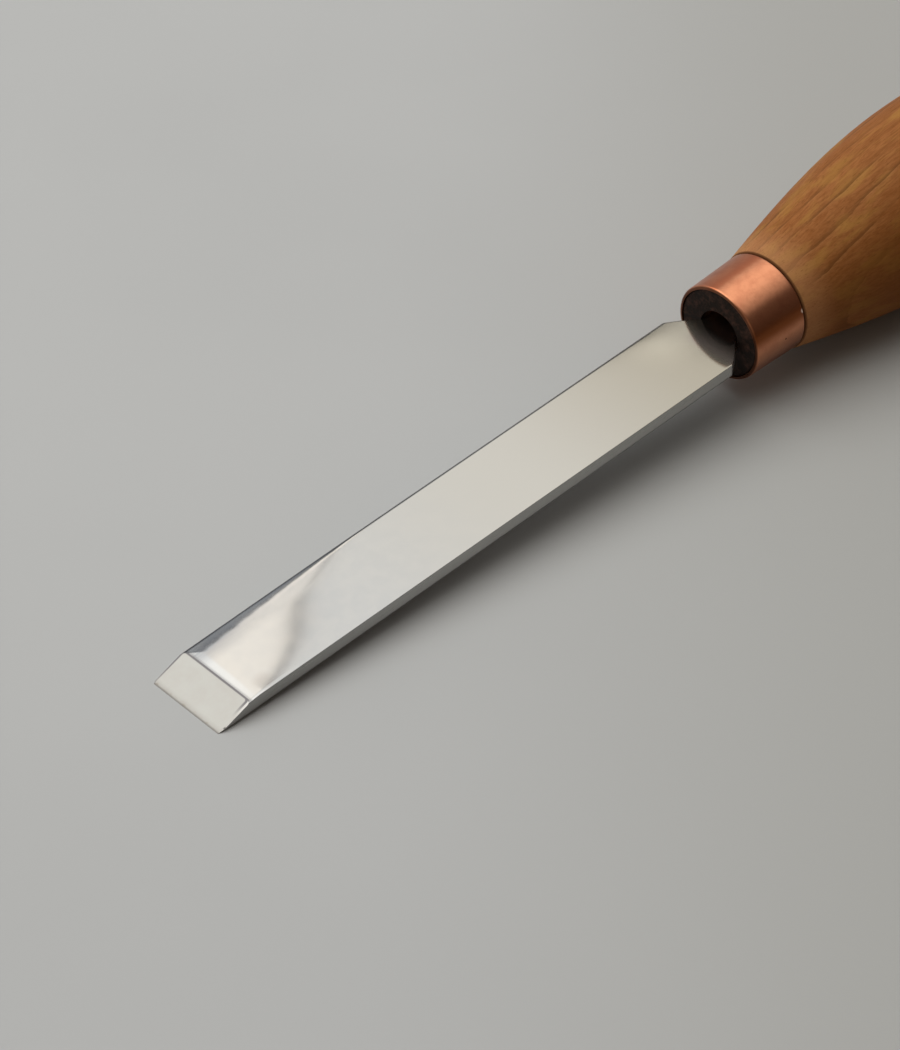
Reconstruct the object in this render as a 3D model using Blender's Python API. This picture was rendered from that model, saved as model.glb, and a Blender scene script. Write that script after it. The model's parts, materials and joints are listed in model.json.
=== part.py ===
"""A flat carving chisel: a steel blade with a ground bevel, shoulders and a tapered tang,
a copper ferrule, a turned wooden handle, and the resin that beds the tang in the handle.

The tool is drawn along X, with the handle's axis on the X axis and the cutting edge at
x = 0. An empty then tilts it until it lies on a bench at z = 0.
"""

import math

import bmesh
import bpy
import numpy as np
from mathutils import Matrix

# Blade, in metres
EDGE_WIDTH = 0.0153
SHOULDER_WIDTH = 0.0158
BLADE_THICKNESS = 0.0025
FACE_ABOVE_AXIS = 0.0010
EXPOSED_LENGTH = 0.1178
SHOULDER_RUN = 0.0052
SHOULDER_SLOPE = 0.58
BEVEL_RUN = 0.0064
ARRIS_ROUND = 0.00018

# Polished edges of the face, which roll over more and more towards the tip
ROLL_LENGTH = 0.032
ROLL_WIDTH = 0.0020
ROLL_DROP = 0.0004

# Tang
TANG_DEPTH = 0.068
TANG_END_WIDTH = 0.0030
TANG_END_THICKNESS = 0.0018

# Ferrule, cut from copper tube and opened a little at the back
FERRULE_LENGTH = 0.0114
FERRULE_FRONT_RADIUS = 0.0089
FERRULE_BACK_RADIUS = 0.0092
FERRULE_WALL = 0.0006
FERRULE_LIP_ROUND = 0.00025

# Handle, with its places counted from the back of the ferrule
COLLAR_RADIUS = 0.0094
COLLAR_ROUND = 0.0003
FLARE_SLOPE = 0.24
BELLY_AT = 0.046
BELLY_RADIUS = 0.0163
BUTT_AT = 0.118
BUTT_RADIUS = 0.0134
BUTT_FLAT_RADIUS = 0.0036
HANDLE_LENGTH = 0.130
END_FACE_RECESS = 0.0002
END_FACE_ROUND = 0.0003

# Bore in the handle, and the resin in it
BORE_RADIUS = 0.0042
BORE_BEYOND_TANG = 0.0050
DRILL_POINT_ANGLE = math.radians(118)
BEDDING_SETBACK = 0.014
BEDDING_WALL = 0.0006

# Clearance between pieces that touch
FIT_GAP = 0.0003

# Facets
TURNED_STEPS = 48
BEDDING_STEPS = 24
CORNER_STEPS = 4
LIP_STEPS = 3
ROLL_STATIONS = 8
SHOULDER_STATIONS = 4
FLARE_STEPS = 9
BELLY_STEPS = 8
DOME_STEPS = 7
SMOOTH_ANGLE = math.radians(30)
MERGE_DISTANCE = 1e-6

# Places that several pieces share
FACE_Z = FACE_ABOVE_AXIS
BACK_Z = FACE_ABOVE_AXIS - BLADE_THICKNESS
SHOULDER_AT = EXPOSED_LENGTH - SHOULDER_RUN
FERRULE_BACK = EXPOSED_LENGTH + FERRULE_LENGTH
MOUTH = EXPOSED_LENGTH + END_FACE_RECESS
BEDDING_FRONT = MOUTH + BEDDING_SETBACK
BEDDING_RADIUS = BORE_RADIUS - FIT_GAP
TANG_END = MOUTH + TANG_DEPTH
BORE_END = TANG_END + BORE_BEYOND_TANG
DRILL_POINT_SLOPE = math.tan(DRILL_POINT_ANGLE / 2)


def clear_scene():
    for obj in list(bpy.data.objects):
        bpy.data.objects.remove(obj, do_unlink=True)


def finish(name, colour, roughness, metallic):
    """A Principled material in the piece's own colour."""
    material = bpy.data.materials.new(name)
    material.use_nodes = True
    shader = material.node_tree.nodes["Principled BSDF"]
    shader.inputs["Base Color"].default_value = (*colour, 1.0)
    shader.inputs["Roughness"].default_value = roughness
    shader.inputs["Metallic"].default_value = metallic
    return material


def add_piece(name, bm, material):
    """Turns a drawn shape into a named object with its faces pointing out."""
    bmesh.ops.recalc_face_normals(bm, faces=bm.faces)
    mesh = bpy.data.meshes.new(name)
    bm.to_mesh(mesh)
    bm.free()
    mesh.shade_smooth()
    mesh.set_sharp_from_angle(angle=SMOOTH_ANGLE)
    mesh.materials.append(material)
    obj = bpy.data.objects.new(name, mesh)
    bpy.context.scene.collection.objects.link(obj)
    return obj


def half_chord(radius, height):
    """Half the width of a circle at this height above its centre."""
    return math.sqrt(radius**2 - height**2)


def smooth_run(start, end, start_slope, end_slope, steps):
    """Points of a smooth curve from start to end, both (x, size), without the start."""
    length = end[0] - start[0]
    points = []
    for step in range(1, steps + 1):
        t = step / steps
        size = (2 * t**3 - 3 * t**2 + 1) * start[1] + (3 * t**2 - 2 * t**3) * end[1]
        size += length * ((t**3 - 2 * t**2 + t) * start_slope + (t**3 - t**2) * end_slope)
        points.append((start[0] + t * length, size))
    return points


def arc(centre, radius, start, end, steps):
    """Points of a round lip, with its angles in degrees from the X axis."""
    points = []
    for step in range(steps + 1):
        angle = math.radians(start + (end - start) * step / steps)
        points.append((centre[0] + radius * math.cos(angle), centre[1] + radius * math.sin(angle)))
    return points


def turn(profile, steps, is_ring=False):
    """Spins an (x, radius) profile round the X axis. A ring's profile closes on itself."""
    bm = bmesh.new()
    verts = [bm.verts.new((x, 0.0, -radius)) for x, radius in profile]
    followers = verts[1:] + verts[:1] if is_ring else verts[1:]
    edges = [bm.edges.new(pair) for pair in zip(verts, followers)]
    bmesh.ops.spin(
        bm,
        geom=verts + edges,
        axis=(1.0, 0.0, 0.0),
        cent=(0.0, 0.0, 0.0),
        angle=2 * math.pi,
        steps=steps,
        use_merge=True,
    )
    bmesh.ops.remove_doubles(bm, verts=bm.verts, dist=MERGE_DISTANCE)
    return bm


def loft(rings):
    """Skins a row of rings that have equally many points, and closes both ends."""
    bm = bmesh.new()
    rows = [[bm.verts.new(point) for point in ring] for ring in rings]
    for row, following in zip(rows, rows[1:]):
        for index in range(len(row)):
            before = index - 1
            bm.faces.new((row[before], row[index], following[index], following[before]))
    bm.faces.new(rows[0])
    bm.faces.new(rows[-1])
    return bm


def blade_stations():
    """(x, half width, back height, face height) where the blade's taper changes."""
    deepest = max(abs(FACE_Z), abs(BACK_Z))
    neck = half_chord(BORE_RADIUS - FIT_GAP, deepest)
    root = half_chord(BEDDING_RADIUS - BEDDING_WALL - FIT_GAP, deepest)
    shoulder = (SHOULDER_AT, SHOULDER_WIDTH / 2)
    mean_slope = (neck - shoulder[1]) / (MOUTH - SHOULDER_AT)
    neck_slope = 2 * mean_slope + SHOULDER_SLOPE
    plan = [(0.0, EDGE_WIDTH / 2), shoulder]
    plan += smooth_run(shoulder, (MOUTH, neck), -SHOULDER_SLOPE, neck_slope, SHOULDER_STATIONS)
    plan.append((BEDDING_FRONT, root))
    stations = [(x, half, BACK_Z, FACE_Z) for x, half in plan]
    tang_half = TANG_END_THICKNESS / 2
    stations.append((TANG_END, TANG_END_WIDTH / 2, -tang_half, tang_half))
    return stations


def section(x, grow=0.0):
    """The ring of points round the blade at x, grown all round for a clearance."""
    places, halves, lows, highs = zip(*blade_stations())
    half = np.interp(x, places, halves) + grow
    low = np.interp(x, places, lows) - grow
    high = np.interp(x, places, highs) + grow
    roll = max(0.0, 1.0 - max(x, 0.0) / ROLL_LENGTH) ** 2
    face_round = (ARRIS_ROUND + roll * ROLL_WIDTH, ARRIS_ROUND + roll * ROLL_DROP)
    back_round = (ARRIS_ROUND, ARRIS_ROUND)
    ring = []
    for quarter, side in enumerate((1, -1, -1, 1)):
        is_face = quarter < 2
        across, drop = face_round if is_face else back_round
        centre_y = side * (half - across)
        centre_z = high - drop if is_face else low + drop
        for step in range(CORNER_STEPS + 1):
            angle = math.radians(90 * (quarter + step / CORNER_STEPS))
            y = centre_y + across * math.cos(angle)
            z = centre_z + drop * math.sin(angle)
            ring.append((x, y, z))
    return ring


def grind_bevel(bm):
    """Cuts the blade along the bevel's plane, which meets its flat back at the edge."""
    cut = bmesh.ops.bisect_plane(
        bm,
        geom=bm.verts[:] + bm.edges[:] + bm.faces[:],
        dist=MERGE_DISTANCE,
        plane_co=(0.0, 0.0, BACK_Z),
        plane_no=(-BLADE_THICKNESS, 0.0, BEVEL_RUN),
        clear_outer=True,
    )
    rim = [item for item in cut["geom_cut"] if isinstance(item, bmesh.types.BMEdge)]
    bmesh.ops.contextual_create(bm, geom=rim)


def make_blade(material):
    blank_front = -BEVEL_RUN / 4
    roll_places = [ROLL_LENGTH * k / ROLL_STATIONS for k in range(1, ROLL_STATIONS + 1)]
    taper_places = [station[0] for station in blade_stations()[1:]]
    places = sorted([blank_front] + roll_places + taper_places)
    bm = loft([section(x) for x in places])
    bmesh.ops.recalc_face_normals(bm, faces=bm.faces)
    grind_bevel(bm)
    return add_piece("blade", bm, material)


def make_ferrule(material):
    lip = FERRULE_LIP_ROUND
    front_lip = (EXPOSED_LENGTH + lip, FERRULE_FRONT_RADIUS - lip)
    back_lip = (FERRULE_BACK - lip, FERRULE_BACK_RADIUS - lip)
    profile = [(EXPOSED_LENGTH, FERRULE_FRONT_RADIUS - FERRULE_WALL)]
    profile += arc(front_lip, lip, 180, 90, LIP_STEPS)
    profile += arc(back_lip, lip, 90, 0, LIP_STEPS)
    profile.append((FERRULE_BACK, FERRULE_BACK_RADIUS - FERRULE_WALL))
    return add_piece("ferrule", turn(profile, TURNED_STEPS, is_ring=True), material)


def make_handle(material):
    spigot_front = FERRULE_FRONT_RADIUS - FERRULE_WALL - FIT_GAP
    spigot_back = FERRULE_BACK_RADIUS - FERRULE_WALL - FIT_GAP
    seat = FERRULE_BACK + FIT_GAP
    collar = (seat + COLLAR_ROUND, COLLAR_RADIUS)
    belly = (FERRULE_BACK + BELLY_AT, BELLY_RADIUS)
    butt = (FERRULE_BACK + BUTT_AT, BUTT_RADIUS)
    dome_length = HANDLE_LENGTH - BUTT_AT
    dome_height = BUTT_RADIUS - BUTT_FLAT_RADIUS

    profile = [(BORE_END + BORE_RADIUS / DRILL_POINT_SLOPE, 0.0), (BORE_END, BORE_RADIUS)]
    profile.append((MOUTH, BORE_RADIUS))
    end_corner = (MOUTH + END_FACE_ROUND, spigot_front - END_FACE_ROUND)
    profile += arc(end_corner, END_FACE_ROUND, 180, 90, LIP_STEPS)
    profile.append((seat, spigot_back))
    collar_corner = (collar[0], COLLAR_RADIUS - COLLAR_ROUND)
    profile += arc(collar_corner, COLLAR_ROUND, 180, 90, LIP_STEPS)
    profile += smooth_run(collar, belly, FLARE_SLOPE, 0.0, FLARE_STEPS)
    profile += smooth_run(belly, butt, 0.0, 0.0, BELLY_STEPS)
    for step in range(1, DOME_STEPS + 1):
        angle = math.radians(90 * step / DOME_STEPS)
        x = butt[0] + dome_length * math.sin(angle)
        profile.append((x, BUTT_FLAT_RADIUS + dome_height * math.cos(angle)))
    profile.append((FERRULE_BACK + HANDLE_LENGTH, 0.0))
    return add_piece("handle", turn(profile, TURNED_STEPS), material)


def make_bedding(material):
    """A plug of resin that fills the bore behind its open mouth, with a pocket for the tang."""
    plug_end = BORE_END - FIT_GAP
    profile = [(BEDDING_FRONT, 0.0), (BEDDING_FRONT, BEDDING_RADIUS), (plug_end, BEDDING_RADIUS)]
    profile.append((plug_end + BEDDING_RADIUS / DRILL_POINT_SLOPE, 0.0))
    bedding = add_piece("tang_bedding", turn(profile, BEDDING_STEPS), material)

    pocket_places = (BEDDING_FRONT - BEDDING_SETBACK / 4, BEDDING_FRONT, TANG_END + FIT_GAP)
    pocket = add_piece("tang_pocket", loft([section(x, FIT_GAP) for x in pocket_places]), material)
    pocket.hide_render = True
    pocket.display_type = "WIRE"
    cut = bedding.modifiers.new("pocket", "BOOLEAN")
    cut.operation = "DIFFERENCE"
    cut.solver = "EXACT"
    cut.object = pocket
    return bedding, pocket


def lay_on_bench(pieces, handle):
    """Tilts the tool until its edge and its belly touch z = 0, and centres it on the origin."""
    rise = max((BACK_Z - vert.co.z) / vert.co.x for vert in handle.data.vertices)
    tilt = math.atan(rise)
    turned = Matrix.Rotation(-tilt, 4, "Y")
    points = np.array([turned @ vert.co for obj in pieces for vert in obj.data.vertices])
    low = points.min(axis=0)
    high = points.max(axis=0)
    rest = bpy.data.objects.new("bench_rest", None)
    bpy.context.scene.collection.objects.link(rest)
    rest.rotation_euler = (0.0, -tilt, 0.0)
    rest.location = (-(low[0] + high[0]) / 2, -(low[1] + high[1]) / 2, -low[2])
    for obj in pieces:
        obj.parent = rest


def main():
    clear_scene()
    steel = finish("polished_steel", (0.70, 0.70, 0.68), 0.18, 1.0)
    copper = finish("copper", (0.80, 0.40, 0.26), 0.28, 1.0)
    wood = finish("oiled_wood", (0.30, 0.16, 0.075), 0.45, 0.0)
    resin = finish("cured_resin", (0.20, 0.13, 0.06), 0.35, 0.0)
    blade = make_blade(steel)
    ferrule = make_ferrule(copper)
    handle = make_handle(wood)
    bedding, pocket = make_bedding(resin)
    lay_on_bench([blade, ferrule, handle, bedding, pocket], handle)


main()
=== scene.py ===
# %% [markdown]
# # A flat carving chisel
# A carving chisel is three things that are seen and one that is not: a polished steel blade,
# a copper ferrule, a turned wooden handle, and the resin that beds the tang inside it.
# The imported model gives their places. This lesson dresses the three that are seen with a finer
# mesh, gives each of the four its own finish, and leaves the place of every piece to the frame.

# %% Load the frame
import json
import math

import bmesh
import bpy
import numpy as np
from mathutils import Matrix, Vector


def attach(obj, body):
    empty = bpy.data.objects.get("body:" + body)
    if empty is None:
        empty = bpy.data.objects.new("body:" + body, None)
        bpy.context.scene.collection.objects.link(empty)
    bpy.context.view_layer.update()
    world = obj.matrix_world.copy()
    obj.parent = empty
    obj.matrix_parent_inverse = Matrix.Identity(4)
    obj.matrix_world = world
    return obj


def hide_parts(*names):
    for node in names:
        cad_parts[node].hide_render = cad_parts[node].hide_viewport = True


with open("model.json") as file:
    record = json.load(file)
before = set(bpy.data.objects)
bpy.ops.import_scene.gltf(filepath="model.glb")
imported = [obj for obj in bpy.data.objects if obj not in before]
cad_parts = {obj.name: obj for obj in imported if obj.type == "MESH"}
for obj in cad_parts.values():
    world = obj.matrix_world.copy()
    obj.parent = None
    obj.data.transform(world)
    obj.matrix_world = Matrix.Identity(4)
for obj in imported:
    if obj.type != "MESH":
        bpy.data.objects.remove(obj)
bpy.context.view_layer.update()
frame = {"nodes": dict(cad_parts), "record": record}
scene = bpy.context.scene
scene.view_settings.view_transform = "Standard"
print("pieces in the frame:", sorted(frame["nodes"]))

# %% [markdown]
# ## The tool's own axes
# The chisel lies tilted on the bench, because its handle is thicker than its blade.
# Shapes and patterns are easier to think about along the tool itself, so every piece is drawn
# in millimetres with x from the cutting edge to the butt, and one matrix lays it on the bench.
# The matrix comes from the record's mount, which is a known point on the flat back.

# %% Find the tool's axes
MM = 0.001
BLADE_THICKNESS = 2.5
FACE_Z = 1.0
BACK_Z = FACE_Z - BLADE_THICKNESS
MOUNT_AT = 60.0

mount = frame["record"]["mounts"][0]
tilt = math.atan2(mount["axis"][0], -mount["axis"][2])
lean = Matrix.Rotation(-tilt, 4, "Y")
tool_origin = Vector(mount["pos_m"]) - lean @ Vector((MOUNT_AT, 0.0, BACK_Z)) * MM
to_bench = Matrix.Translation(tool_origin) @ lean @ Matrix.Scale(MM, 4)
print("tilt of the tool:", round(math.degrees(tilt), 3), "degrees")

# %% [markdown]
# ## Camera
# The viewing angle was solved from the straight edges of the blade and the round end of the
# ferrule. A long lens from half a metre gives the gentle perspective of a close product shot.

# %% Set the camera
AIM = Vector((-0.06997, 0.00411, 0.0))
DISTANCE = 0.5263
LOOK_DOWN = math.radians(40.274)
HEADING = math.radians(44.628)
ROLL = math.radians(2.164)
LENS = 112.215
SENSOR_WIDTH = 36.0

BACK = Vector((math.cos(HEADING), math.sin(HEADING), 0.0))
LEFT = Vector((-BACK.y, BACK.x, 0.0))
UP = Vector((0.0, 0.0, 1.0))
forward = BACK * math.cos(LOOK_DOWN) - UP * math.sin(LOOK_DOWN)
camera_data = bpy.data.cameras.new("camera")
camera_data.lens = LENS
camera_data.sensor_width = SENSOR_WIDTH
camera = bpy.data.objects.new("camera", camera_data)
scene.collection.objects.link(camera)
turn = forward.to_track_quat("-Z", "Y").to_matrix().to_4x4() @ Matrix.Rotation(ROLL, 4, "Z")
camera.matrix_world = Matrix.Translation(AIM - forward * DISTANCE) @ turn
scene.camera = camera
print("camera at", [round(value, 4) for value in camera.matrix_world.translation])

# %% [markdown]
# ## Writing shaders as expressions
# Material nodes are easier to read as formulas than as a list of links. A small class holds one
# output socket, and its operators add Math nodes, so `1 - mask` is one node and a name.
# A second class owns a node tree and makes any node from its type, settings and inputs. A third
# adds what a surface needs: the tool's own coordinates, noise, mixed colours and bumps.

# %% A socket that can be added and multiplied
class Value:
    """One output socket of a node tree."""

    def __init__(self, tree, socket):
        self.tree = tree
        self.socket = socket

    def __add__(self, other):
        return self.tree.maths("ADD", self, other)

    def __radd__(self, other):
        return self.tree.maths("ADD", other, self)

    def __sub__(self, other):
        return self.tree.maths("SUBTRACT", self, other)

    def __rsub__(self, other):
        return self.tree.maths("SUBTRACT", other, self)

    def __mul__(self, other):
        return self.tree.maths("MULTIPLY", self, other)

    def __rmul__(self, other):
        return self.tree.maths("MULTIPLY", other, self)

    def __truediv__(self, other):
        return self.tree.maths("DIVIDE", self, other)

    def __rtruediv__(self, other):
        return self.tree.maths("DIVIDE", other, self)

    def __pow__(self, other):
        return self.tree.maths("POWER", self, other)

    def __abs__(self):
        return self.tree.maths("ABSOLUTE", self)

    def at_least(self, other):
        return self.tree.maths("MAXIMUM", self, other)

    def rise(self, low, high):
        """0 below low, 1 above high, and a smooth step between."""
        settings = {"interpolation_type": "SMOOTHSTEP"}
        inputs = {"Value": self, "From Min": low, "From Max": high}
        return self.tree.node("ShaderNodeMapRange", settings, inputs)

    def fall(self, low, high):
        """1 below low, 0 above high, and a smooth step between."""
        return 1 - self.rise(low, high)


# %% A node tree that makes its nodes
class Tree:
    """The nodes of one material, world or modifier."""

    def __init__(self, node_tree):
        self.nodes = node_tree.nodes
        self.links = node_tree.links

    def node(self, kind, settings=None, inputs=None, out=0):
        """Adds a node, sets its settings, then feeds its sockets. Returns one of its outputs."""
        made = self.nodes.new(kind)
        for name, value in (settings or {}).items():
            setattr(made, name, value)
        for name, value in (inputs or {}).items():
            self.feed(self.find(made.inputs, name), value)
        return Value(self, self.find(made.outputs, out))

    def find(self, sockets, name):
        """A socket by its number, its identifier or its name."""
        if isinstance(name, int):
            return sockets[name]
        for socket in sockets:
            if socket.identifier == name:
                return socket
        return sockets[name]

    def feed(self, socket, value):
        """Links a Value to a socket, or sets a constant on it."""
        if isinstance(value, Value):
            self.links.new(value.socket, socket)
        else:
            socket.default_value = value

    def maths(self, operation, *terms):
        return self.node("ShaderNodeMath", {"operation": operation}, dict(enumerate(terms)))

    def outputs(self, value):
        """Every output of the node that a value comes from."""
        return [Value(self, socket) for socket in value.socket.node.outputs]

    def split(self, vector):
        return self.outputs(self.node("ShaderNodeSeparateXYZ", None, {"Vector": vector}))

    def join(self, x, y, z):
        return self.node("ShaderNodeCombineXYZ", None, {"X": x, "Y": y, "Z": z})


# %% A surface with patterns and colours
class Surface(Tree):
    """The nodes of one finish, in the tool's own millimetres where it asks for them."""

    def tool_space(self):
        """Object coordinates turned into millimetres along the tool."""
        place = self.node("ShaderNodeTexCoord", out="Object")
        settings = {"vector_type": "TEXTURE"}
        inputs = {"Vector": place, "Location": tuple(tool_origin)}
        inputs["Rotation"] = (0.0, -tilt, 0.0)
        inputs["Scale"] = (MM, MM, MM)
        return self.node("ShaderNodeMapping", settings, inputs)

    def noise(self, vector, scale, detail=2.0, roughness=0.5):
        inputs = {"Vector": vector, "Scale": scale, "Detail": detail, "Roughness": roughness}
        return self.node("ShaderNodeTexNoise", None, inputs)

    def drawn_noise(self, axes, scales, detail, roughness=0.5):
        """Noise with its own scale on each axis, drawn out where the scale is small."""
        scaled = [axis * scale for axis, scale in zip(axes, scales)]
        return self.noise(self.join(*scaled), 1.0, detail, roughness)

    def mix(self, factor, first, second):
        """Blends two colours, each a tuple of three numbers or a Value."""
        inputs = {"Factor_Float": factor}
        for name, colour in (("A_Color", first), ("B_Color", second)):
            inputs[name] = colour if isinstance(colour, Value) else (*colour, 1.0)
        settings = {"data_type": "RGBA", "clamp_factor": True}
        return self.node("ShaderNodeMix", settings, inputs, "Result_Color")

    def along(self, vector, axis):
        """How far a vector reaches along an axis."""
        inputs = {0: vector, 1: tuple(axis)}
        return self.node("ShaderNodeVectorMath", {"operation": "DOT_PRODUCT"}, inputs, "Value")

    def spot(self, place, centre, inner, outer):
        """1 within the inner distance of a point, and 0 beyond the outer one."""
        inputs = {0: place, 1: centre}
        away = self.node("ShaderNodeVectorMath", {"operation": "DISTANCE"}, inputs, "Value")
        return away.fall(inner, outer)

    def bump(self, height, strength, distance):
        inputs = {"Height": height, "Strength": strength, "Distance": distance}
        return self.node("ShaderNodeBump", None, inputs)


# %% Start and end a finish
def new_finish(name):
    """A new material and the surface that its nodes describe."""
    material = bpy.data.materials.new(name)
    material.use_nodes = True
    return material, Surface(material.node_tree)


def set_finish(material, surface, inputs):
    """Feeds the sockets of the material's shader, and says how large its tree is."""
    shader = material.node_tree.nodes["Principled BSDF"]
    for name, value in inputs.items():
        surface.feed(shader.inputs[name], value)
    print(material.name, "has", len(surface.nodes), "nodes")


print("shader tools ready")

# %% [markdown]
# ## Bench
# The tool lies on a plain pale bench top. One large face is enough, because only its paint is
# seen. Slow noise clouds the paint, fine noise roughens it, and painted shade makes it a little
# darker towards the right, where a real bench top would lie further from the window.

# %% Lay the bench
BENCH_SIZE = 9.0
PALE_PAINT = (0.478, 0.491, 0.494)
PALER_PAINT = (0.498, 0.511, 0.514)
BENCH_SHADE = (0.418, 0.424, 0.413)

reach = BENCH_SIZE / 2
corners = [(-reach, -reach, 0.0), (reach, -reach, 0.0), (reach, reach, 0.0), (-reach, reach, 0.0)]
bench_mesh = bpy.data.meshes.new("bench")
bench_mesh.from_pydata(corners, [], [(0, 1, 2, 3)])
bench = bpy.data.objects.new("bench", bench_mesh)
scene.collection.objects.link(bench)

bench_paint, tree = new_finish("bench_paint")
place = tree.node("ShaderNodeTexCoord", out="Object")
cloud = tree.noise(place, 9.0, 3.0)
grain = tree.noise(place, 900.0, 2.0)
painted = tree.mix(cloud.rise(0.3, 0.7), PALE_PAINT, PALER_PAINT)
# Painted shade: the bench grows a little darker towards the right.
shade_to_the_right = tree.along(place, LEFT).fall(-0.03, 0.07)
set_finish(bench_paint, tree, {
    "Base Color": tree.mix(shade_to_the_right, painted, BENCH_SHADE),
    "Roughness": 0.75,
    "Specular IOR Level": 0.15,
    "Normal": tree.bump(grain, 0.05, 0.0002),
})
bench_mesh.materials.append(bench_paint)
print("bench is", BENCH_SIZE, "m across")

# %% [markdown]
# ## Overhead panels and a window
# Polished metal shows its surroundings more than its own colour, so the light is planned from
# what the metal mirrors. One large lamp would be simpler, but the blade would mirror it evenly.
# Four level panels hang side by side instead, brighter towards the left, and the seam between
# two of them is the dark streak on the blade. Their edges are parts of their height, so a
# mirrored edge stays in its place if the panels are raised. A window on the left draws the
# shadows. It is kept out of reflections, where it would show as a square.

# %% Make a glowing panel
def hang_panel(name, centre, aim, size, radiance, tint):
    """A soft panel whose face has the given brightness and tint."""
    lamp = bpy.data.lights.new(name, "AREA")
    lamp.shape = "RECTANGLE"
    lamp.size = size[0]
    lamp.size_y = size[1]
    lamp.energy = radiance * math.pi * size[0] * size[1]
    lamp.color = tint
    panel = bpy.data.objects.new(name, lamp)
    scene.collection.objects.link(panel)
    panel.matrix_world = Matrix.Translation(centre) @ aim
    panel.visible_camera = False
    print(name, "gives", round(lamp.energy, 2), "W")
    return panel


# %% Hang the overhead panels
PANEL_HEIGHT = 1.6
PANEL_FAR_EDGE = 1.04
SHORT_RUN = (-0.10, PANEL_FAR_EDGE)
LONG_RUN = (-0.70, PANEL_FAR_EDGE)
RIGHT_END = -1.00
RIGHT_JOIN = -0.50
PANEL_SEAM = (0.2210, 0.2261)
LEFT_JOIN = 0.38
LEFT_END = 1.35
SOFT_WHITE = (1.0, 0.985, 0.955)
WARM_WHITE = (1.0, 0.935, 0.855)


def hang_overhead(name, back, left, radiance, tint):
    """A level panel. Its edges are given as parts of its height, back and left of the tool."""
    middle = BACK * sum(back) / 2 + LEFT * sum(left) / 2 + UP
    size = (PANEL_HEIGHT * (back[1] - back[0]), PANEL_HEIGHT * (left[1] - left[0]))
    facing = Matrix.Rotation(HEADING, 4, "Z")
    hang_panel(name, middle * PANEL_HEIGHT, facing, size, radiance, tint)


hang_overhead("right_edge", SHORT_RUN, (RIGHT_END, RIGHT_JOIN), 0.70, SOFT_WHITE)
hang_overhead("right_panel", SHORT_RUN, (RIGHT_JOIN, PANEL_SEAM[0]), 1.41, SOFT_WHITE)
hang_overhead("middle_panel", LONG_RUN, (PANEL_SEAM[1], LEFT_JOIN), 1.92, WARM_WHITE)
hang_overhead("left_panel", LONG_RUN, (LEFT_JOIN, LEFT_END), 2.10, SOFT_WHITE)
print("panels hang at", PANEL_HEIGHT, "m")

# %% Add the window
WINDOW_AT = LEFT * 0.6 + BACK * 0.2 + UP * 0.62
WINDOW_SIZE = (0.42, 0.42)
DAYLIGHT = (0.96, 1.0, 1.0)

facing = (-WINDOW_AT).to_track_quat("-Z", "Y").to_matrix().to_4x4()
window = hang_panel("window", WINDOW_AT, facing, WINDOW_SIZE, 0.95, DAYLIGHT)
window.visible_glossy = False

# %% [markdown]
# ## The painted room
# Past the panels the metal mirrors the room. A picture of a room could be wrapped round the
# scene, but plain painted walls are easier to steer. They are pale at the back and left, warm
# in front and in the middle of the back, and dark on the right. Each wall is one mix over the
# walls before it.

# %% Paint the room
FRONT_WALL = (0.275, 0.22, 0.17)
RIGHT_WALL = (0.070, 0.050, 0.041)
LEFT_WALL = (0.46, 0.46, 0.46)
BACK_WALL = (0.52, 0.55, 0.60)
BACK_MIDDLE = (0.40, 0.31, 0.26)
CEILING = (0.12, 0.11, 0.10)
FLOOR = (0.45, 0.45, 0.45)

world = bpy.data.worlds.new("studio")
scene.world = world
world.use_nodes = True
tree = Surface(world.node_tree)
direction = tree.node("ShaderNodeTexCoord", out="Generated")
behind = tree.along(direction, BACK)
right = tree.along(direction, -LEFT)
height = tree.split(direction)[2]
room = tree.mix(right.rise(0.30, 0.62), FRONT_WALL, RIGHT_WALL)
room = tree.mix(right.fall(-0.80, -0.45), room, LEFT_WALL)
room = tree.mix(behind.rise(0.55, 0.85), room, BACK_WALL)
room = tree.mix(behind.rise(0.84, 0.99), room, BACK_MIDDLE)
room = tree.mix(height.rise(0.58, 0.72), room, CEILING)
room = tree.mix(height.rise(-0.02, 0.06), FLOOR, room)
background = world.node_tree.nodes["Background"]
tree.feed(background.inputs["Color"], room)
background.inputs["Strength"].default_value = 1.0
print("room has", len(tree.nodes), "nodes")

# %% [markdown]
# ## Measured sizes
# These are the model's own sizes, in millimetres along the tool. The visual pieces are drawn
# from them, so that they sit exactly where their solids sit.

# %% Note the sizes
EDGE_WIDTH = 15.3
SHOULDER_WIDTH = 15.8
EXPOSED_LENGTH = 117.8
SHOULDER_RUN = 5.2
SHOULDER_SLOPE = 0.58
BEVEL_RUN = 6.4
ARRIS_ROUND = 0.18
TANG_DEPTH = 68.0
TANG_END_WIDTH = 3.0
FERRULE_LENGTH = 11.4
HANDLE_LENGTH = 130.0
END_FACE_RECESS = 0.2
BORE_RADIUS = 4.2
BORE_BEYOND_TANG = 5.0
BEDDING_SETBACK = 14.0
BEDDING_WALL = 0.6
FIT_GAP = 0.3

SHOULDER_AT = EXPOSED_LENGTH - SHOULDER_RUN
FERRULE_BACK = EXPOSED_LENGTH + FERRULE_LENGTH
MOUTH = EXPOSED_LENGTH + END_FACE_RECESS
BEDDING_FRONT = MOUTH + BEDDING_SETBACK
TANG_END = MOUTH + TANG_DEPTH
BORE_END = TANG_END + BORE_BEYOND_TANG
print("tool length:", FERRULE_BACK + HANDLE_LENGTH, "mm")

# %% [markdown]
# ## Blade: outline
# The blade is one forging: a flat plate, two shoulders, a neck and a tapered tang. Its outline
# could be a drawn curve, but only half of its width at each x is needed, so a short list of
# (x, half width) points says it all. The shoulders curve in to a neck that just fits the bore.

# %% Plan the blade's outline
BLANK_START = -2.0
SHOULDER_STEPS = 24


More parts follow.
